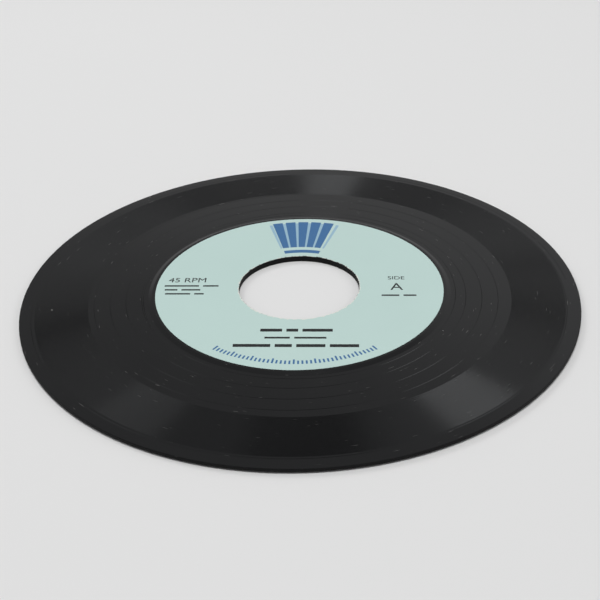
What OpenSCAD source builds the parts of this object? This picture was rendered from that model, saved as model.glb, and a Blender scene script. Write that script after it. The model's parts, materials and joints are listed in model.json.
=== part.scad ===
// Seven-inch vinyl record with a large centre hole and a paper label on each side.
// It lies flat with side A up. The origin is the centre of the hole, on the plane the record
// rests on, and +Z is the axis it turns about.

/* [Disc] */
// Outer diameter of the disc
disc_d = 174.6; // [172:0.2:178]
// Diameter of the large centre hole
hole_d = 38.2; // [34:0.1:42]
// Thickness of the thin web that carries the grooves
web_t = 1.15; // [0.9:0.05:1.35]
// Radius of the trimmed outer edges
edge_r = 0.15; // [0.05:0.05:0.4]

/* [Label land] */
// Thickness over the raised land that carries the labels
land_t = 2.0; // [1.7:0.05:2.4]
// Width of bare land left outside the label
land_margin = 0.8; // [0.4:0.1:1.2]
// Width of the slope from the land down to the web
land_slope_w = 1.6; // [0.8:0.1:2]

/* [Labels] */
// Diameter of a paper label
label_d = 91; // [84:0.5:92]
// Thickness of the label paper
label_t = 0.1; // [0.08:0.01:0.2]
// Gap between the label's edge and the step of its bed
label_gap = 0.05; // [0.02:0.01:0.1]

/* [Recorded band] */
// Width of the band of recorded grooves on each face
band_w = 16.4; // [12:0.2:17]
// Width of the bare margin between the band and the edge of the disc
margin_w = 4.6; // [3:0.1:6]
// Distance from one turn of the recorded groove to the next
groove_pitch = 0.17; // [0.15:0.01:0.3]
// Width of the recorded groove at its mouth
groove_w = 0.12; // [0.06:0.01:0.13]

/* [Lead-in and lead-out] */
// Width of the lead-in, lead-out and locked grooves at their mouth
run_w = 0.16; // [0.12:0.01:0.2]
// Distance from one turn of the lead-in groove to the next
lead_in_pitch = 1.6; // [1.2:0.1:1.8]
// Quarter turns of the lead-in groove
lead_in_quarters = 5; // [4:1:6]
// Distance between the turns of the lead-out groove
lead_out_pitch = 5; // [3:0.1:6]
// Direction in which the lead-out groove leaves the recorded band, in degrees from +X
lead_out_angle = 46; // [0:1:359]
// Diameter of the locked groove, a closed ring that the lead-out groove ends in
locked_d = 98.4; // [97:0.2:102]

/* [Hidden] */
$fn = 180;

disc_r = disc_d / 2;
hole_r = hole_d / 2;
label_r = label_d / 2;
bed_r = label_r + label_gap;
land_r = label_r + land_margin;
middle = land_t / 2;
web_top = web_t / 2;
edge_steps = 4;

locked_r = locked_d / 2;
band_turns = floor(band_w / groove_pitch);
first_groove_r = disc_r - margin_w - groove_pitch / 2;
last_groove_r = first_groove_r - (band_turns - 1) * groove_pitch;
lead_in_r = first_groove_r + lead_in_quarters * lead_in_pitch / 4;
lead_out_quarters = round((last_groove_r - locked_r) / (lead_out_pitch / 4));

// Section of the bars that cut the spiral grooves, as [radius, height] from the middle of the
// groove's mouth. It stands out of the face.
above = 0.1;
bar_section = [[0, -run_w / 2], [run_w / 2 + above, above], [-run_w / 2 - above, above]];

// The land's slope is straight, with a rounded shoulder over this share of its width at each end
shoulder = 0.2;

// How far up the slope is, from 0 to 1, at a share of its width
function climb(share) =
    share < shoulder ? share * share / (2 * shoulder * (1 - shoulder))
    : share > 1 - shoulder ? 1 - climb(1 - share)
    : (share - shoulder / 2) / (1 - shoulder);

// The slope's points from one [radius, height] to another
function slope(from, to) = [
    for (share = [0, shoulder / 2, shoulder, 1 - shoulder, 1 - shoulder / 2, 1])
        [from[0] + (to[0] - from[0]) * share, from[1] + (to[1] - from[1]) * climb(share)]
];

// A groove in the web at radius r. Its walls stand at 45 degrees, as a stylus needs them.
function notch(r, width) = [
    [r - width / 2, web_top],
    [r, web_top - width / 2],
    [r + width / 2, web_top]
];

// One face of the disc from the hole outwards, as [radius, height over the middle plane].
// It ends with the quarter round of the outer edge.
face_line = concat(
    [
        [hole_r, land_t / 2 - label_t],
        [bed_r, land_t / 2 - label_t],
        [bed_r, land_t / 2]
    ],
    slope([land_r, land_t / 2], [land_r + land_slope_w, web_top]),
    notch(locked_r, run_w),
    [for (turn = [0 : band_turns - 1]) each notch(last_groove_r + turn * groove_pitch, groove_w)],
    [for (step = [0 : edge_steps])
        [
            disc_r - edge_r + edge_r * sin(90 * step / edge_steps),
            web_top - edge_r + edge_r * cos(90 * step / edge_steps)
        ]]
);

// The same line on the other side of the middle plane, back from the edge to the hole
function opposite(line) = [for (i = [len(line) - 1 : -1 : 0]) [line[i][0], -line[i][1]]];

// The disc about its middle plane. The recorded groove's turns lie so close that each is a ring.
module turned_disc() {
    rotate_extrude()
        polygon(concat(face_line, opposite(face_line)));
}

// A bar that cuts a spiral groove winding inwards. Each quarter turn is an arc round a corner of
// a small square, shorter in radius than the last by the square's side, so the arcs join smoothly.
module spiral_bar(start_r, end_r, quarters, angle) {
    side = (start_r - end_r) / quarters;
    translate([0, 0, web_top])
        for (quarter = [0 : quarters - 1])
            rotate(angle + 90 * quarter)
                translate([side / 2, -side / 2])
                    rotate_extrude(angle = 90)
                        translate([start_r - side * (quarter + 0.5), 0])
                            polygon(bar_section);
}

module vinyl_disc() {
    color([0.11, 0.11, 0.12])
        translate([0, 0, middle])
            difference() {
                turned_disc();
                for (turn = [0, 180])
                    rotate([turn, 0, 0]) {
                        spiral_bar(lead_in_r, first_groove_r, lead_in_quarters, 0);
                        spiral_bar(last_groove_r, locked_r, lead_out_quarters, lead_out_angle);
                    }
            }
}

// A paper ring with its underside on z = 0, punched through with the disc
module paper_label() {
    color([0.74, 0.82, 0.81])
        rotate_extrude()
            translate([hole_r, 0])
                square([label_r - hole_r, label_t]);
}

module label_side_a() {
    translate([0, 0, land_t - label_t])
        paper_label();
}

module label_side_b() {
    paper_label();
}

vinyl_disc();
label_side_a();
label_side_b();
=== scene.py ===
import json
import math

import bpy
from bpy.props import (
    EnumProperty,
    FloatProperty,
    FloatVectorProperty,
    IntProperty,
    PointerProperty,
)
from mathutils import Matrix, Vector, noise


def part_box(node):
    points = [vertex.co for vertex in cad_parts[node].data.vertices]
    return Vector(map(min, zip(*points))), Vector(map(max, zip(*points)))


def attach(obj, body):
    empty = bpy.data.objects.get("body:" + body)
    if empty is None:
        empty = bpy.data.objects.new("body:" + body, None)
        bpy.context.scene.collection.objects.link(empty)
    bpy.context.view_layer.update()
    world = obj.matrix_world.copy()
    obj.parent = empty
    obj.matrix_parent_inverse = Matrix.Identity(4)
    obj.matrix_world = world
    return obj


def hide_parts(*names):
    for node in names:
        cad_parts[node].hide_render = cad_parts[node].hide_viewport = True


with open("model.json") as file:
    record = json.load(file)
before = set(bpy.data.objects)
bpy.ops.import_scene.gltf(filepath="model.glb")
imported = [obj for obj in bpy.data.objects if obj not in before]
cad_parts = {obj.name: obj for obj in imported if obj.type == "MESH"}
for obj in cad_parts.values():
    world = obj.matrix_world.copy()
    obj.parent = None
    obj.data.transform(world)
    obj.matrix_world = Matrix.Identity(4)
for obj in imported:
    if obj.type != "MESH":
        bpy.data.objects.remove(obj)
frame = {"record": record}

bl_info = {
    "name": "Seven-inch vinyl record",
    "version": (1, 0, 0),
    "blender": (4, 5, 0),
    "location": "3D View > Sidebar > Record",
    "description": "Presses a grooved seven-inch record and gives it plain printed paper labels",
    "category": "Add Mesh",
}

MM = 0.001
BODY = "root"
FULL_TURN = 2 * math.pi
SIDES = ("A", "B")

# Sizes of the CAD model
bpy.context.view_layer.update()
MOUNTS = {mount["name"]: mount for mount in frame["record"]["mounts"]}
DISC_LOW, DISC_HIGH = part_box("vinyl_disc")
LABEL_LOW, LABEL_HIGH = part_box("label_side_a")
DISC_R = DISC_HIGH.x
LABEL_R = LABEL_HIGH.x
HOLE_R = MOUNTS["centre_hole"]["dims"]["r_mm"] * MM
LAND_T = DISC_HIGH.z - DISC_LOW.z
LABEL_T = LABEL_HIGH.z - LABEL_LOW.z
MIDDLE = LAND_T / 2

# Share of the moulded slope's width that is rounded at each of its ends
SHOULDER = 0.2
# Steps of the rounding at the disc's outer edge
EDGE_STEPS = 6
# How far from an edge the next turned line lies, so that the flat beside it is shaded as flat
BESIDE = 0.15 * MM
# Chamfer at the top of the step round the label's bed
BED_CHAMFER = 0.03 * MM
# How far a groove's cutting bar stands out of the face, as a share of half its width
BAR_ABOVE = 0.3
# Points of a mesh that lie closer than this are merged
MERGE = 1e-7
# Faces that meet at more than this keep a sharp edge between them
SHARP = math.radians(25)
# A face is part of the punched wall if its normal rises less than this, and it lies this near
UPRIGHT = 0.1
WALL_DEPTH = 0.1 * MM
# Rings of a paper label, by their distance from the hole
PAPER_RINGS = [distance * MM for distance in (0, 0.12, 0.3, 0.6, 1.5, 6, 14, 22)]
# How far from the hole the paper is drawn back where it is frayed
FRAY_REACH = 1.5 * MM

# The print is given in millimetres from the middle of the label, and in degrees from its right.
# Each rule has the place where it starts, its width and the lengths of its dashes.
RULES = (
    (-10.5, -25.2, 1.5, (6.5, 3.5, 9.0)),
    (-9.0, -29.2, 0.9, (7.5, 9.5)),
    (-18.0, -33.3, 1.5, (11.0, 5.0, 8.5, 8.5)),
    (-43.0, 0.2, 0.8, (11.0, 5.0)),
    (-42.6, -2.2, 0.8, (4.0, 6.0)),
    (-42.2, -4.6, 0.8, (8.0, 3.0)),
    (26.0, -5.4, 0.8, (5.5, 4.0)),
)
DASH_GAP = 1.3
# Each word has a name, its text, its size and its middle. The letter of the side has no text here.
WORDS = (
    ("speed", "45 RPM", 3.9, (-36.0, 3.6)),
    ("side_word", "SIDE", 2.8, (30.8, 5.0)),
    ("side_letter", None, 6.0, (30.8, -0.4)),
)
# The fan of rays: where it begins, how wide a ray is, how far out it goes and where each starts
FAN_R = 25.4
BLUE_RAY_W, BLUE_RAY_R = 4.6, 43.2
BLUE_RAYS = (76.2, 82.2, 88.2, 94.2, 100.2)
PALE_RAY_W, PALE_RAY_R = 1.4, 42.4
PALE_RAYS = (73.4, 80.8, 86.8, 92.8, 98.8, 105.2)
# The arc under the fan: inner and outer radius, start and end
ARC = (21.6, 23.5, 75, 105)
# The scale of ticks, with a longer one at each fifth place
TICKS = 41
TICK_START, TICK_STEP, TICK_W = 236, 1.7, 0.75
TICK_R, LONG_TICK_R, TICK_OUTER_R = 40.9, 40.3, 42.6

VINYL_IOR = 1.53
PAPER_IOR = 1.45
SENSOR_W = 36
FLOOR_R = 6
# How far behind the record's axis the floor has all of its second colour, a painted light that
# makes up for the lamp light that falls off farther back
FLOOR_FADE = 0.25


def length(name, description, default_mm):
    """A size property in metres, with its default given in millimetres."""
    return FloatProperty(
        name=name, description=description, default=default_mm * MM, unit="LENGTH", precision=5
    )


def angle_of(name, description, degrees):
    """An angle property, with its default given in degrees."""
    return FloatProperty(
        name=name, description=description, default=math.radians(degrees), subtype="ANGLE"
    )


def colour(name, description, default):
    """A plain colour property. The default is in linear light."""
    return FloatVectorProperty(
        name=name, description=description, default=default, subtype="COLOR", min=0, max=1
    )


def side_choice():
    """A property that names one side of the record."""
    return EnumProperty(
        name="Side", description="The side of the record",
        items=[(side, "Side " + side, "Side " + side + " of the record") for side in SIDES],
    )


class RecordDiscSettings(bpy.types.PropertyGroup):
    web_t: length("Web thickness", "Thickness of the thin web that carries the grooves", 1.15)
    edge_r: length("Edge radius", "Radius of the trimmed outer edges", 0.15)
    land_margin: length("Land margin", "Width of bare land outside the label", 0.8)
    land_slope_w: length("Land slope", "Width of the slope from the land down to the web", 1.6)
    bed_gap: length("Bed gap", "Gap round the label, where the step of its bed shows dark", 0.14)
    band_w: length("Recorded band", "Width of the band of recorded grooves", 16.4)
    margin_w: length("Margin", "Width of the bare margin between the band and the edge", 4.6)
    groove_pitch: length("Groove pitch", "Distance from one turn of the groove to the next", 0.17)
    groove_w: length("Groove width", "Width of the recorded groove at its mouth", 0.12)
    run_w: length("Run groove width", "Width of the coarse lead-in and lead-out grooves", 0.16)
    lead_in_w: length("Lead-in width", "How far the lead-in groove travels inwards", 2.0)
    lead_in_pitch: length("Lead-in pitch", "Distance between turns of the lead-in groove", 1.6)
    lead_out_pitch: length("Lead-out pitch", "Distance between turns of the lead-out groove", 5)
    locked_r: length("Locked groove radius", "Radius of the closed groove at the end", 49.2)
    lead_out_angle: angle_of(
        "Lead-out angle", "Where the lead-out groove leaves the recorded band", 46
    )
    segments: IntProperty(
        name="Segments", description="Steps round the disc, a multiple of four", default=144, min=32
    )
    black: colour("Vinyl colour", "Colour of the pressed vinyl", (0.0075, 0.0075, 0.008))
    torn: colour(
        "Torn vinyl colour", "Colour of the shreds on the punched and trimmed walls",
        (0.09, 0.09, 0.09),
    )
    dust: colour("Dust colour", "Colour of the specks of dust on the vinyl", (0.5, 0.5, 0.48))


class RecordLabelSettings(bpy.types.PropertyGroup):
    sink: length("Sink", "How far the paper lies under the land round it", 0.03)
    ink_t: length("Ink thickness", "How far the print stands over the paper", 0.015)
    edge_r: length("Edge radius", "Rounding of the paper's pressed outer edge", 0.03)
    fray_w: length("Fray", "Width of the frayed paper at the punched hole", 0.75)
    segments: IntProperty(
        name="Segments", description="Steps round the label, fine enough for its frayed edge",
        default=960, min=96,
    )
    turn: angle_of("Print turn", "How far the print is turned on the disc", -3.4)
    paper: colour("Paper colour", "Colour of the printed label paper", (0.546, 0.713, 0.677))
    core: colour("Paper core", "Colour of the paper's torn edge", (0.76, 0.78, 0.72))
    ink_black: colour("Black ink", "Colour of the black print", (0.012, 0.012, 0.014))
    ink_blue: colour("Blue ink", "Colour of the blue print", (0.051, 0.159, 0.352))
    ink_pale: colour("Pale ink", "Colour of the pale blue print", (0.32, 0.5, 0.62))


class RecordStageSettings(bpy.types.PropertyGroup):
    elevation: angle_of("Camera elevation", "Height of the view over the horizon", 31.98)
    roll: angle_of("Camera roll", "Turn of the picture about the view", 1.787)
    distance: length("Camera distance", "From the camera to the point that it looks at", 344.4)
    aim_x: length("Aim across", "The point that the camera looks at, across the view", 0.137)
    aim_y: length("Aim along", "The point that the camera looks at, along the view", -5.11)
    lens: FloatProperty(
        name="Lens", description="Focal length in millimetres on a sensor 36 mm wide",
        default=65.76,
    )
    floor: colour("Floor colour", "Colour of the pale floor", (0.8, 0.8, 0.8))
    # Painted light: the floor's colour farther back is lighter, to stand in for the lamp light that
    # falls off there
    floor_back_painted_light: colour(
        "Floor behind", "Colour of the floor farther back, where less light falls",
        (0.815, 0.815, 0.815),
    )
    sky: FloatProperty(
        name="Sky level", description="Level of the plain light from all round",
        default=0.389, min=0,
    )
    overhead: FloatProperty(
        name="Overhead", description="Change of the level high up, over the backdrop",
        default=-0.179,
    )
    over_camera: FloatProperty(
        name="Over the camera", description="Change of the level above the camera", default=-0.21
    )
    right_wall: FloatProperty(
        name="Right wall", description="Change of the level low on the right", default=0.134
    )
    left_wall: FloatProperty(
        name="Left wall", description="Change of the level low on the left", default=0.233
    )


def deselect_all():
    """Leaves edit mode, if need be, and selects nothing."""
    if bpy.context.object and bpy.context.object.mode != "OBJECT":
        bpy.ops.object.mode_set(mode="OBJECT")
    bpy.ops.object.select_all(action="DESELECT")


def pick(piece):
    """Makes one object the only selected one, and active."""
    deselect_all()
    piece.select_set(True)
    bpy.context.view_layer.objects.active = piece


def added(name):
    """Names the object that the last operator added, and its data."""
    piece = bpy.context.object
    piece.name = name
    piece.data.name = name
    return piece


def edit_all(piece):
    """Opens a mesh in edit mode with all of it selected."""
    pick(piece)
    bpy.ops.object.mode_set(mode="EDIT")
    bpy.ops.mesh.select_all(action="SELECT")


def close_shell(piece):
    """Merges doubles, turns the faces outwards and shades them smooth up to the sharp edges."""
    edit_all(piece)
    bpy.ops.mesh.remove_doubles(threshold=MERGE)
    bpy.ops.mesh.normals_make_consistent(inside=False)
    bpy.ops.object.mode_set(mode="OBJECT")
    bpy.ops.object.shade_smooth_by_angle(angle=SHARP)


def turned_shell(name, section, steps):
    """Turns a closed section of (radius, height) points about Z, as on a lathe."""
    deselect_all()
    bpy.ops.mesh.primitive_circle_add(vertices=len(section), radius=1, fill_type="NOTHING")
    piece = added(name)
    for vertex, (radius, height) in zip(piece.data.vertices, section):
        vertex.co = (radius, 0, height)
    edit_all(piece)
    bpy.ops.mesh.spin(
        steps=steps, angle=FULL_TURN, center=(0, 0, 0), axis=(0, 0, 1), use_auto_merge=True
    )
    bpy.ops.object.mode_set(mode="OBJECT")
    close_shell(piece)
    return piece


def joined(name, parts):
    """Joins parts into one object."""
    pick(parts[0])
    for part in parts[1:]:
        part.select_set(True)
    if len(parts) > 1:
        bpy.ops.object.join()
    return added(name)


def twin(piece, name):
    """A copy of a piece, with its own mesh."""
    copy = piece.copy()
    copy.data = piece.data.copy()
    copy.name = name
    bpy.context.scene.collection.objects.link(copy)
    return copy


def turned_over(piece):
    """Turns a piece over about X in the disc's middle plane, so that it is on the other side."""
    over = Matrix.Rotation(math.pi, 4, "X")
    middle = Matrix.Translation((0, 0, MIDDLE))
    piece.data.transform(middle @ over @ middle.inverted())
    return piece


def dress(piece, *materials):
    """Gives a piece its materials, in the order of its faces' slots."""
    piece.data.materials.clear()
    for material in materials:
        piece.data.materials.append(material)


def climb(share):
    """How far up a moulded slope is, from 0 to 1, with both its ends rounded."""
    if share < SHOULDER:
        return share * share / (2 * SHOULDER * (1 - SHOULDER))
    if share > 1 - SHOULDER:
        return 1 - climb(1 - share)
    return (share - SHOULDER / 2) / (1 - SHOULDER)


def slope(start, end, steps=4):
    """Points of a moulded slope from one (radius, height) to another, both ends included."""
    rounded = [SHOULDER * step / steps for step in range(steps + 1)]
    shares = rounded + [1 - share for share in reversed(rounded)]
    return [
        (start[0] + (end[0] - start[0]) * share, start[1] + (end[1] - start[1]) * climb(share))
        for share in shares
    ]


def web_top(disc):
    """Height of the web's face over the middle of the disc."""
    return disc.web_t / 2


def band_outer(disc):
    """Outer radius of the recorded band."""
    return DISC_R - disc.margin_w


def groove_count(disc):
    """Turns of the recorded groove on one face."""
    return math.floor(disc.band_w / disc.groove_pitch)


def band_inner(disc):
    """Inner radius of the recorded band."""
    return band_outer(disc) - groove_count(disc) * disc.groove_pitch


def notch(radius, top, width):
    """The three points of a groove in a flat face, with walls at 45 degrees."""
    return [(radius - width / 2, top), (radius, top - width / 2), (radius + width / 2, top)]


def face_line(disc):
    """One face of the disc from the hole outwards, as (radius, height over the middle)."""
    land, web = LAND_T / 2, web_top(disc)
    bed_r = LABEL_R + disc.bed_gap
    land_r = LABEL_R + disc.land_margin
    slope_end = land_r + disc.land_slope_w
    corner = DISC_R - disc.edge_r
    line = [
        (HOLE_R, land - LABEL_T),
        (HOLE_R + BESIDE, land - LABEL_T),
        (bed_r, land - LABEL_T),
        (bed_r, land - BED_CHAMFER),
        (bed_r + BED_CHAMFER, land),
        (land_r - BESIDE, land),
    ]
    line += slope((land_r, land), (slope_end, web))
    line.append((slope_end + BESIDE, web))
    line += notch(disc.locked_r, web, disc.run_w)
    line.append((band_inner(disc) - BESIDE, web))
    for turn in range(groove_count(disc)):
        centre = band_inner(disc) + (turn + 0.5) * disc.groove_pitch
        line += notch(centre, web, disc.groove_w)
    line.append((band_outer(disc) + BESIDE, web))
    line.append((corner - BESIDE, web))
    for step in range(EDGE_STEPS + 1):
        angle = math.pi / 2 * step / EDGE_STEPS
        drop = disc.edge_r * (1 - math.cos(angle))
        line.append((corner + disc.edge_r * math.sin(angle), web - drop))
    return line


def bar_profile(name, width):
    """A flat V, as wide as a groove at the face that it cuts, that a cutting bar is drawn from."""
    half = width / 2
    over = half * (1 + BAR_ABOVE)
    profile = bpy.data.curves.new(name, "CURVE")
    profile.dimensions = "2D"
    outline = profile.splines.new("POLY")
    outline.points.add(2)
    corners = [(0, -half), (over, half * BAR_ABOVE), (-over, half * BAR_ABOVE)]
    for point, (x, y) in zip(outline.points, corners):
        point.co = (x, y, 0, 1)
    outline.use_cyclic_u = True
    holder = bpy.data.objects.new(name, profile)
    bpy.context.scene.collection.objects.link(holder)
    return holder


def spiral_cutter(name, disc, start_r, end_r, pitch, start_angle):
    """A V-shaped bar along a spiral that winds inwards, anticlockwise seen from above."""
    turns = round(4 * (start_r - end_r) / pitch) / 4
    steps = math.ceil(turns * disc.segments)
    height = MIDDLE + web_top(disc)
    curve = bpy.data.curves.new(name, "CURVE")
    curve.dimensions = "3D"
    curve.twist_mode = "Z_UP"
    spline = curve.splines.new("POLY")
    spline.points.add(steps)
    for step, point in enumerate(spline.points):
        share = step / steps
        radius = start_r + (end_r - start_r) * share
        angle = start_angle + FULL_TURN * turns * share
        point.co = (radius * math.cos(angle), radius * math.sin(angle), height, 1)
    profile = bar_profile(name + "_profile", disc.run_w)
    curve.bevel_mode = "OBJECT"
    curve.bevel_object = profile
    curve.use_fill_caps = True
    bar = bpy.data.objects.new(name, curve)
    bpy.context.scene.collection.objects.link(bar)
    pick(bar)
    bpy.ops.object.convert(target="MESH")
    bar = bpy.context.object
    bpy.data.objects.remove(profile)
    close_shell(bar)
    return bar


def carve(piece, cutter):
    """Cuts one piece with another, and removes the cutter."""
    cut = piece.modifiers.new("Carve", "BOOLEAN")
    cut.operation = "DIFFERENCE"
    cut.solver = "EXACT"
    cut.object = cutter
    pick(piece)
    bpy.ops.object.modifier_apply(modifier=cut.name)
    bpy.data.objects.remove(cutter)


class Nodes:
    """A short way to build a material's node tree."""

    def __init__(self, name):
        self.material = bpy.data.materials.new(name)
        self.material.use_nodes = True
        self.tree = self.material.node_tree
        self.shader = self.tree.nodes["Principled BSDF"]

    def add(self, kind, *inputs, **settings):
        """Adds a node. Settings are its properties, and inputs are values or sockets in order."""
        node = self.tree.nodes.new(kind)
        for key, value in settings.items():
            setattr(node, key, value)
        for socket, value in zip(node.inputs, inputs):
            self.feed(socket, value)
        return node

    def feed(self, socket, value):
        """Links a socket to another one, or gives it a plain value."""
        if isinstance(value, bpy.types.NodeSocket):
            self.tree.links.new(value, socket)
        else:
            socket.default_value = value

    def math(self, operation, *inputs):
        return self.add("ShaderNodeMath", *inputs, operation=operation).outputs[0]

    def vector(self, x, y, z):
        return self.add("ShaderNodeCombineXYZ", x, y, z).outputs[0]

    def split(self, vector):
        return self.add("ShaderNodeSeparateXYZ", vector).outputs

    def where(self):
        """A place on the object, in metres."""
        return self.add("ShaderNodeTexCoord").outputs["Object"]

    def radius(self, where):
        """How far a place is from the record's axis."""
        x, y = self.split(where)[:2]
        square = self.math("ADD", self.math("MULTIPLY", x, x), self.math("MULTIPLY", y, y))
        return self.math("SQRT", square)

    def angle(self, where):
        """How far round the record's axis a place is, in radians."""
        x, y = self.split(where)[:2]
        return self.math("ARCTAN2", y, x)

    def noise(self, vector, scale, detail, rough):
        node = self.add("ShaderNodeTexNoise")
        self.feed(node.inputs["Vector"], vector)
        node.inputs["Scale"].default_value = scale
        node.inputs["Detail"].default_value = detail
        node.inputs["Roughness"].default_value = rough
        return node.outputs["Fac"]

    def between(self, value, low, high, out_low=0.0, out_high=1.0):
        """Maps value from low..high to out_low..out_high, held at the ends."""
        node = self.add("ShaderNodeMapRange")
        keys = ("Value", "From Min", "From Max", "To Min", "To Max")
        for key, entry in zip(keys, (value, low, high, out_low, out_high)):
            self.feed(node.inputs[key], entry)
        return node.outputs["Result"]

    def mix(self, share, first, second):
        """Mixes two colours."""
        node = self.add("ShaderNodeMix", data_type="RGBA")
        self.feed(node.inputs["Factor"], share)
        self.feed(node.inputs[6], first)
        self.feed(node.inputs[7], second)
        return node.outputs[2]

    def mix_numbers(self, share, first, second):
        node = self.add("ShaderNodeMix", data_type="FLOAT")
        self.feed(node.inputs[0], share)
        self.feed(node.inputs[2], first)
        self.feed(node.inputs[3], second)
        return node.outputs[0]

    def bump(self, height, distance, strength):
        node = self.add("ShaderNodeBump")
        node.inputs["Distance"].default_value = distance
        node.inputs["Strength"].default_value = strength
        self.feed(node.inputs["Height"], height)
        return node.outputs["Normal"]

    def set(self, **values):
        """Feeds the shader's sockets, named with underscores for spaces."""
        for key, value in values.items():
            self.feed(self.shader.inputs[key.replace("_", " ")], value)


def rgba(linear, level=1.0):
    """A colour for a socket, darker where the level is under 1."""
    return (*(part * level for part in linear), 1.0)


def ring_noise(nodes, where, across, along, detail, rough):
    """Noise that is fine across the grooves and drawn out along them."""
    angle = nodes.angle(where)
    east = nodes.math("MULTIPLY", nodes.math("COSINE", angle), along)
    north = nodes.math("MULTIPLY", nodes.math("SINE", angle), along)
    outwards = nodes.math("MULTIPLY", nodes.radius(where), across)
    return nodes.noise(nodes.vector(east, north, outwards), 1.0, detail, rough)


def paper_fibre(nodes, where):
    """The paper's fibre, which shows through the ink too."""
    return nodes.noise(where, scale=2600.0, detail=5.0, rough=0.65)


def dust_specks(nodes, where):
    """Where a speck of dust lies: a dot in a few of many small cells."""
    speck_r, speck_share = 0.05, 0.05
    cells = nodes.add("ShaderNodeTexVoronoi", feature="F1")
    nodes.feed(cells.inputs["Vector"], where)
    cells.inputs["Scale"].default_value = 260.0
    dot = nodes.math("LESS_THAN", cells.outputs["Distance"], speck_r)
    chosen = nodes.add("ShaderNodeSeparateColor", cells.outputs["Color"]).outputs[0]
    return nodes.math("MULTIPLY", dot, nodes.math("GREATER_THAN", chosen, 1 - speck_share))


def vinyl_material(disc):
    """Black pressed vinyl: glossy flats with fine round scuffs, duller groove walls, short
    strokes of wear and a few specks of dust."""
    nodes = Nodes("pressed_vinyl")
    where = nodes.where()
    radius = nodes.radius(where)
    in_band = nodes.math(
        "MULTIPLY",
        nodes.math("GREATER_THAN", radius, band_inner(disc)),
        nodes.math("LESS_THAN", radius, band_outer(disc)),
    )
    haze = nodes.noise(where, scale=38.0, detail=4.0, rough=0.6)
    flats = nodes.between(haze, 0.3, 0.7, 0.13, 0.2)
    voices = ring_noise(nodes, where, across=2600, along=26.0, detail=3.0, rough=0.7)
    walls = nodes.between(voices, 0.3, 0.7, 0.16, 0.22)
    strokes = ring_noise(nodes, where, across=2600, along=15.0, detail=1.0, rough=0.5)
    wear = nodes.between(strokes, 0.74, 0.79, 0.0, 0.14)
    scuffs = ring_noise(nodes, where, across=9000, along=2.2, detail=3.0, rough=0.6)
    dusty = dust_specks(nodes, where)
    worn = nodes.mix(wear, rgba(disc.black), rgba(disc.dust))
    dull = nodes.math("MULTIPLY", dusty, 0.8)
    nodes.set(
        Base_Color=nodes.mix(dusty, worn, rgba(disc.dust)),
        Roughness=nodes.math("MAXIMUM", nodes.mix_numbers(in_band, flats, walls), dull),
        Normal=nodes.bump(scuffs, 0.004 * MM, 0.5),
    )
    nodes.shader.inputs["IOR"].default_value = VINYL_IOR
    nodes.shader.inputs["Specular Tint"].default_value = (0.955, 0.98, 1.0, 1.0)
    return nodes.material


def cut_material(disc):
    """The punched wall of the hole and the trimmed edge: vinyl dragged by the blade."""
    nodes = Nodes("cut_vinyl")
    where = nodes.where()
    along = nodes.math("MULTIPLY", nodes.angle(where), 55.0)
    upwards = nodes.math("MULTIPLY", nodes.split(where)[2], 900.0)
    drag = nodes.noise(nodes.vector(along, upwards, 0.0), scale=1.0, detail=4.0, rough=0.7)
    nodes.set(
        Base_Color=nodes.mix(nodes.between(drag, 0.62, 0.85), rgba(disc.black), rgba(disc.torn)),
        Roughness=nodes.between(drag, 0.3, 0.7, 0.5, 0.75),
        Normal=nodes.bump(drag, 0.04 * MM, 0.6),
    )
    nodes.shader.inputs["IOR"].default_value = VINYL_IOR
    nodes.shader.inputs["Specular IOR Level"].default_value = 0.12
    return nodes.material


def paper_material(label, name):
    """Pale label paper, pressed smooth, with a faint fibre and a torn white edge at the hole."""
    nodes = Nodes(name)
    where = nodes.where()
    fibre = paper_fibre(nodes, where)
    cloud = nodes.noise(where, scale=45.0, detail=3.0, rough=0.5)
    tired = nodes.mix(
        nodes.between(cloud, 0.3, 0.75, 0.0, 0.35), rgba(label.paper), rgba(label.paper, 0.93)
    )
    mottled = nodes.mix(
        nodes.between(fibre, 0.35, 0.7, 0.0, 0.3), tired, rgba(label.paper, 0.94)
    )
    jagged = nodes.noise(where, scale=900.0, detail=4.0, rough=0.7)
    reach = nodes.between(jagged, 0.35, 0.75, HOLE_R, HOLE_R + label.fray_w)
    torn = nodes.math("LESS_THAN", nodes.radius(where), reach)
    nodes.set(
        Base_Color=nodes.mix(torn, mottled, rgba(label.core)),
        Roughness=nodes.between(fibre, 0.3, 0.7, 0.5, 0.64),
        Normal=nodes.bump(fibre, 0.012 * MM, 0.5),
    )
    nodes.shader.inputs["IOR"].default_value = PAPER_IOR
    return nodes.material


def ink_material(name, tone, label):
    """Printing ink, a little uneven where the paper's fibre took less of it."""
    nodes = Nodes(name)
    fibre = paper_fibre(nodes, nodes.where())
    thin = nodes.between(fibre, 0.58, 0.8, 0.0, 0.35)
    nodes.set(
        Base_Color=nodes.mix(thin, rgba(tone), rgba(label.paper)),
        Roughness=nodes.between(fibre, 0.3, 0.7, 0.42, 0.6),
    )
    nodes.shader.inputs["IOR"].default_value = PAPER_IOR
    return nodes.material


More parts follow.
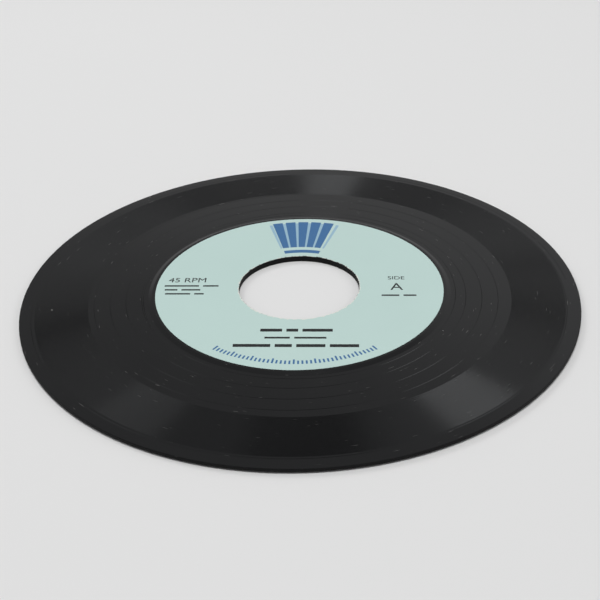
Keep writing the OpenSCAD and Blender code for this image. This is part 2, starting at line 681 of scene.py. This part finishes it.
class RECORD_OT_disc(bpy.types.Operator):
    """Turns the vinyl disc from its section and cuts the lead-in and lead-out grooves"""

    bl_idname = "record.disc"
    bl_label = "Press the vinyl disc"

    def execute(self, context):
        disc = context.scene.record_disc
        upper = [(radius, MIDDLE + height) for radius, height in face_line(disc)]
        lower = [(radius, LAND_T - height) for radius, height in reversed(upper)]
        piece = turned_shell("pressed_disc", upper + lower, disc.segments)
        first = band_outer(disc) - disc.groove_pitch / 2
        last = band_inner(disc) + disc.groove_pitch / 2
        bars = [
            spiral_cutter("lead_in", disc, first + disc.lead_in_w, first, disc.lead_in_pitch, 0),
            spiral_cutter(
                "lead_out", disc, last, disc.locked_r, disc.lead_out_pitch, disc.lead_out_angle
            ),
        ]
        for bar in bars:
            carve(piece, turned_over(twin(bar, bar.name + "_b")))
            carve(piece, bar)
        close_shell(piece)
        dress(piece, vinyl_material(disc), cut_material(disc))
        for face in piece.data.polygons:
            radius = Vector(face.center[:2]).length
            punched = abs(face.normal.z) < UPRIGHT and radius < HOLE_R + WALL_DEPTH
            trimmed = radius > DISC_R - disc.edge_r
            face.material_index = 1 if punched or trimmed else 0
        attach(piece, BODY)
        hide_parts("vinyl_disc")
        return {"FINISHED"}


def label_section(label):
    """Section of a paper label in the bed of side A, as (radius, height)."""
    low, top = LAND_T - LABEL_T, LAND_T - label.sink
    edge = [
        (LABEL_R - label.edge_r, low),
        (LABEL_R, low + label.edge_r),
        (LABEL_R, top - label.edge_r),
        (LABEL_R - label.edge_r, top),
    ]
    upper = [(HOLE_R + ring, top) for ring in reversed(PAPER_RINGS)]
    lower = [(HOLE_R + ring, low) for ring in PAPER_RINGS]
    return edge + upper + lower


def fray(angle, side):
    """How far the paper is chipped back from the hole at an angle, from 0 to 1. The punch dragged
    most on one side."""
    seed = 3.7 if side == "A" else 11.3
    spot = Vector((math.cos(angle), math.sin(angle), seed))
    slow = noise.noise(spot * 6.0)
    quick = noise.noise(spot * 38.0)
    finest = noise.noise(spot * 120.0)
    dragged = 0.25 + 0.75 * max(0.0, math.sin(angle))
    chipped = 0.12 + 0.35 * max(0.0, slow * 0.6 + 0.2) + 0.9 * max(0.0, quick) + 0.3 * finest
    return min(1.0, max(0.0, chipped * dragged))


def fray_paper(piece, side, width):
    """Draws the paper's rings near the hole back where the punch tore it."""
    for vertex in piece.data.vertices:
        flat = Vector(vertex.co[:2])
        share = 1 - (flat.length - HOLE_R) / FRAY_REACH
        if share < 0.01:
            continue
        shift = fray(math.atan2(flat.y, flat.x), side) * width * share**2
        flat *= (flat.length + shift) / flat.length
        vertex.co[0], vertex.co[1] = flat


class RECORD_OT_label(bpy.types.Operator):
    """Lays a pressed paper label in its bed, frayed where the hole was punched through it"""

    bl_idname = "record.label"
    bl_label = "Lay a paper label"

    side: side_choice()

    def execute(self, context):
        label = context.scene.record_label
        side = self.side.lower()
        piece = turned_shell("label_paper_" + side, label_section(label), label.segments)
        fray_paper(piece, self.side, label.fray_w)
        if self.side == "B":
            turned_over(piece)
        dress(piece, paper_material(label, "label_paper_" + side))
        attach(piece, BODY)
        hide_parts("label_side_" + side)
        return {"FINISHED"}


def flat_plate(name, outlines, bottom, top):
    """Thin plates standing on flat outlines, each a closed list of (x, y) points."""
    deselect_all()
    parts = []
    for outline in outlines:
        bpy.ops.mesh.primitive_circle_add(vertices=len(outline), radius=1, fill_type="NGON")
        part = added(name)
        for vertex, (x, y) in zip(part.data.vertices, outline):
            vertex.co = (x, y, bottom)
        edit_all(part)
        bpy.ops.mesh.normals_make_consistent(inside=False)
        bpy.ops.mesh.extrude_region_move(TRANSFORM_OT_translate={"value": (0, 0, top - bottom)})
        bpy.ops.mesh.select_all(action="SELECT")
        bpy.ops.mesh.normals_make_consistent(inside=False)
        bpy.ops.object.mode_set(mode="OBJECT")
        parts.append(part)
    return joined(name, parts)


def dashes(x, y, width, lengths):
    """A rule broken into dashes, in millimetres. It starts at x, and its middle is at height y."""
    rule = []
    for dash in lengths:
        corners = ((x, -1), (x + dash, -1), (x + dash, 1), (x, 1))
        rule.append([(across * MM, (y + side * width / 2) * MM) for across, side in corners])
        x += dash + DASH_GAP
    return rule


def sector(inner_r, outer_r, start, end, steps=4):
    """Part of a ring between two radii in millimetres and two angles in degrees."""
    angles = [math.radians(start + (end - start) * step / steps) for step in range(steps + 1)]
    inner = [(inner_r * MM * math.cos(a), inner_r * MM * math.sin(a)) for a in angles]
    outer = [(outer_r * MM * math.cos(a), outer_r * MM * math.sin(a)) for a in reversed(angles)]
    return inner + outer


def tick(place):
    """One tick of the scale."""
    inner_r = LONG_TICK_R if place % 5 == 0 else TICK_R
    start = TICK_START + TICK_STEP * place
    return sector(inner_r, TICK_OUTER_R, start, start + TICK_W, 1)


def word(name, text, size, middle, bottom, top):
    """Generic lettering as a thin plate, centred on a place in millimetres."""
    deselect_all()
    bpy.ops.object.text_add()
    letters = bpy.context.object
    letters.data.body = text
    letters.data.size = size * MM
    letters.data.align_x = "CENTER"
    letters.data.align_y = "CENTER"
    letters.data.extrude = (top - bottom) / 2
    letters.data.resolution_u = 4
    pick(letters)
    bpy.ops.object.convert(target="MESH")
    plate = added(name)
    x, y = middle
    plate.data.transform(Matrix.Translation((x * MM, y * MM, (top + bottom) / 2)))
    return plate


def black_print(name, side, bottom, top):
    """The rules and words."""
    rules = [dash for rule in RULES for dash in dashes(*rule)]
    plates = [flat_plate("rules", rules, bottom, top)]
    for word_name, text, size, middle in WORDS:
        plates.append(word(word_name, text or side, size, middle, bottom, top))
    return joined(name, plates)


def blue_print(name, bottom, top):
    """The broad rays of the fan, the arc under it and the scale of ticks."""
    rays = [sector(FAN_R, BLUE_RAY_R, start, start + BLUE_RAY_W) for start in BLUE_RAYS]
    ticks = [tick(place) for place in range(TICKS)]
    return flat_plate(name, rays + [sector(*ARC, 12)] + ticks, bottom, top)


def pale_print(name, bottom, top):
    """The thin rays between the broad ones and beside them."""
    rays = [sector(FAN_R, PALE_RAY_R, start, start + PALE_RAY_W) for start in PALE_RAYS]
    return flat_plate(name, rays, bottom, top)


class RECORD_OT_print(bpy.types.Operator):
    """Prints a label with plain rules, a fan of rays, a scale of ticks and generic words"""

    bl_idname = "record.print"
    bl_label = "Print a label"

    side: side_choice()

    def execute(self, context):
        label = context.scene.record_label
        paper = LAND_T - label.sink
        bottom, top = paper - label.ink_t, paper + label.ink_t
        side = self.side.lower()
        inks = (
            (black_print("print_black_" + side, self.side, bottom, top), "black", label.ink_black),
            (blue_print("print_blue_" + side, bottom, top), "blue", label.ink_blue),
            (pale_print("print_pale_" + side, bottom, top), "pale", label.ink_pale),
        )
        for piece, ink, tone in inks:
            piece.data.transform(Matrix.Rotation(label.turn, 4, "Z"))
            if self.side == "B":
                turned_over(piece)
            dress(piece, ink_material("ink_" + ink + "_" + side, tone, label))
            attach(piece, BODY)
        return {"FINISHED"}


def soft_lamp(name, direction, distance, width, height, radiance, mirrored=True):
    """A softbox that faces the record from a direction. One that isn't mirrored only casts light
    and shadow."""
    towards = Vector(direction).normalized()
    deselect_all()
    bpy.ops.object.light_add(type="AREA", location=towards * distance)
    lamp = bpy.context.object
    lamp.name = name
    lamp.rotation_mode = "QUATERNION"
    lamp.rotation_quaternion = towards.to_track_quat("Z", "Y")
    lamp.data.shape = "RECTANGLE"
    lamp.data.size = width
    lamp.data.size_y = height
    lamp.data.energy = radiance * math.pi * width * height
    lamp.visible_camera = False
    lamp.visible_glossy = mirrored


def cone(degrees_out, degrees_in):
    """The cosines between which a part of the room fades in round its direction."""
    return math.cos(math.radians(degrees_out)), math.cos(math.radians(degrees_in))


class RECORD_OT_stage(bpy.types.Operator):
    """Sets the camera, a pale floor with painted light farther back, and soft studio light"""

    bl_idname = "record.stage"
    bl_label = "Set the stage"

    def execute(self, context):
        stage = context.scene.record_stage
        self.set_camera(context, stage)
        self.set_floor(stage)
        self.set_sky(context, stage)
        soft_lamp("top_softbox", (0.0, -0.08, 1.0), 2.2, 0.9, 0.7, 12.2)
        soft_lamp("back_softbox", (-0.5, 0.62, 0.6), 2.4, 0.7, 0.7, 7.0, mirrored=False)
        soft_lamp("near_softbox", (-0.19, -0.38, 0.905), 2.2, 0.62, 0.5, 1.7)
        soft_lamp("right_softbox", (0.81, -0.15, 0.56), 2.4, 1.0, 0.85, 1.3)
        soft_lamp("left_softbox", (-0.81, -0.17, 0.56), 2.4, 0.9, 0.75, 0.45)
        context.scene.view_settings.view_transform = "Standard"
        return {"FINISHED"}

    def set_camera(self, context, stage):
        level, height = math.cos(stage.elevation), math.sin(stage.elevation)
        aim = Vector((stage.aim_x, stage.aim_y, 0))
        deselect_all()
        bpy.ops.object.camera_add(location=aim + Vector((0, -level, height)) * stage.distance)
        camera = bpy.context.object
        camera.name = "camera"
        tilt = Matrix.Rotation(math.pi / 2 - stage.elevation, 4, "X")
        camera.rotation_euler = (tilt @ Matrix.Rotation(-stage.roll, 4, "Z")).to_euler()
        camera.data.sensor_width = SENSOR_W
        camera.data.lens = stage.lens
        camera.data.clip_start = 0.01
        context.scene.camera = camera

    def set_floor(self, stage):
        deselect_all()
        bpy.ops.mesh.primitive_circle_add(vertices=64, radius=FLOOR_R, fill_type="NGON")
        floor = added("floor")
        nodes = Nodes("floor")
        where = nodes.where()
        # Painted light: the floor is mixed towards a lighter colour behind the record's axis, where
        # less lamp light falls
        back = nodes.between(nodes.split(where)[1], 0.0, FLOOR_FADE)
        plain = nodes.mix(back, rgba(stage.floor), rgba(stage.floor_back_painted_light))
        cloud = nodes.noise(where, scale=3.0, detail=2.0, rough=0.5)
        shade = nodes.between(cloud, 0.3, 0.7, 0.0, 0.01)
        nodes.set(Base_Color=nodes.mix(shade, plain, rgba(stage.floor, 0.0)), Roughness=0.9)
        nodes.shader.inputs["Specular IOR Level"].default_value = 0.0
        dress(floor, nodes.material)

    def set_sky(self, context, stage):
        """A plain room: a grey all round, darker overhead and over the camera, lighter at both
        sides. Each part has its direction, where it fades in and its change of the level."""
        context.scene.world = bpy.data.worlds.new("studio")
        context.scene.world.use_nodes = True
        tree = context.scene.world.node_tree
        where = tree.nodes.new("ShaderNodeTexCoord").outputs["Generated"]
        level = tree.nodes.new("ShaderNodeValue").outputs[0]
        level.default_value = stage.sky
        parts = (
            ((-0.44, 0.0, 1.0), (0.46, 0.59), stage.overhead),
            ((0.0, -0.6, 0.8), cone(24, 12), stage.over_camera),
            (Vector((0.9, 0.3, 0.3)).normalized(), cone(35, 15), stage.right_wall),
            (Vector((-0.9, 0.3, 0.3)).normalized(), cone(35, 15), stage.left_wall),
        )
        for direction, (low, high), change in parts:
            dot = tree.nodes.new("ShaderNodeVectorMath")
            dot.operation = "DOT_PRODUCT"
            dot.inputs[1].default_value = direction
            tree.links.new(where, dot.inputs[0])
            ramp = tree.nodes.new("ShaderNodeMapRange")
            ramp.interpolation_type = "SMOOTHSTEP"
            for key, value in zip(("From Min", "From Max", "To Max"), (low, high, change)):
                ramp.inputs[key].default_value = value
            tree.links.new(dot.outputs["Value"], ramp.inputs["Value"])
            total = tree.nodes.new("ShaderNodeMath")
            tree.links.new(level, total.inputs[0])
            tree.links.new(ramp.outputs["Result"], total.inputs[1])
            level = total.outputs[0]
        tree.links.new(level, tree.nodes["Background"].inputs["Color"])


class RECORD_PT_panel(bpy.types.Panel):
    """Lists the record's pieces and settings"""

    bl_idname = "RECORD_PT_panel"
    bl_label = "Record"
    bl_space_type = "VIEW_3D"
    bl_region_type = "UI"
    bl_category = "Record"

    def draw(self, context):
        layout = self.layout
        scene = context.scene
        layout.operator("record.stage")
        layout.operator("record.disc")
        for side in SIDES:
            layout.operator("record.label", text="Label " + side).side = side
            layout.operator("record.print", text="Print " + side).side = side
        for settings in (scene.record_disc, scene.record_label, scene.record_stage):
            box = layout.box()
            for name in settings.__annotations__:
                box.prop(settings, name)


CLASSES = (
    RecordDiscSettings,
    RecordLabelSettings,
    RecordStageSettings,
    RECORD_OT_stage,
    RECORD_OT_disc,
    RECORD_OT_label,
    RECORD_OT_print,
    RECORD_PT_panel,
)


def register():
    for cls in CLASSES:
        bpy.utils.register_class(cls)
    bpy.types.Scene.record_disc = PointerProperty(type=RecordDiscSettings)
    bpy.types.Scene.record_label = PointerProperty(type=RecordLabelSettings)
    bpy.types.Scene.record_stage = PointerProperty(type=RecordStageSettings)


def unregister():
    del bpy.types.Scene.record_stage
    del bpy.types.Scene.record_label
    del bpy.types.Scene.record_disc
    for cls in reversed(CLASSES):
        bpy.utils.unregister_class(cls)


def main():
    """Makes the stage, the disc, and each side's label and print."""
    register()
    bpy.ops.record.stage()
    bpy.ops.record.disc()
    for side in SIDES:
        bpy.ops.record.label(side=side)
        bpy.ops.record.print(side=side)


if __name__ == "__main__":
    main()
